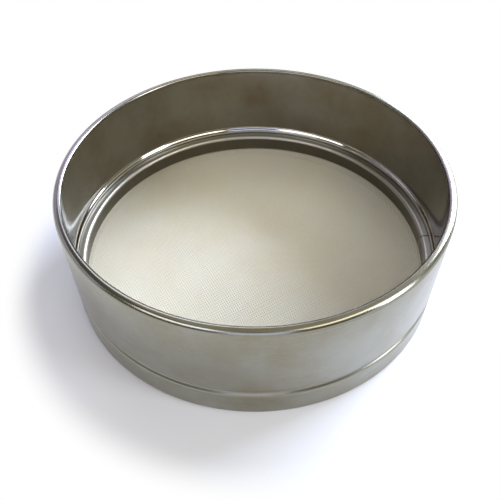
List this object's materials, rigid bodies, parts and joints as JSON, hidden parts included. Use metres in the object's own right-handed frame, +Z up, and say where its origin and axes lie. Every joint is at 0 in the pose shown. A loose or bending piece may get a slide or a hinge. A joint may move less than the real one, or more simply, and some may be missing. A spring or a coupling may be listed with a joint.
{
  "type": "flour sieve",
  "caption": "Round drum flour sieve: polished sheet-steel wall with a curled rim, and a fine woven wire screen clamped above the foot by a split ring under a rolled ridge.",
  "frame": {"origin": "centre of the circle on which the foot stands", "axes": "+Z up along the drum's axis, out of the open rim; +X towards the split in the ring"},
  "size_m": [0.2, 0.2, 0.065],
  "materials": {
    "polished_sheet": "polished stainless sheet",
    "bright_strip": "bright rolled stainless strip",
    "woven_wire": "woven stainless wire cloth"
  },
  "bodies": {
    "root": {"shell": "polished_sheet", "split_ring": "bright_strip", "mesh_screen": "woven_wire"}
  },
  "joints": []
}
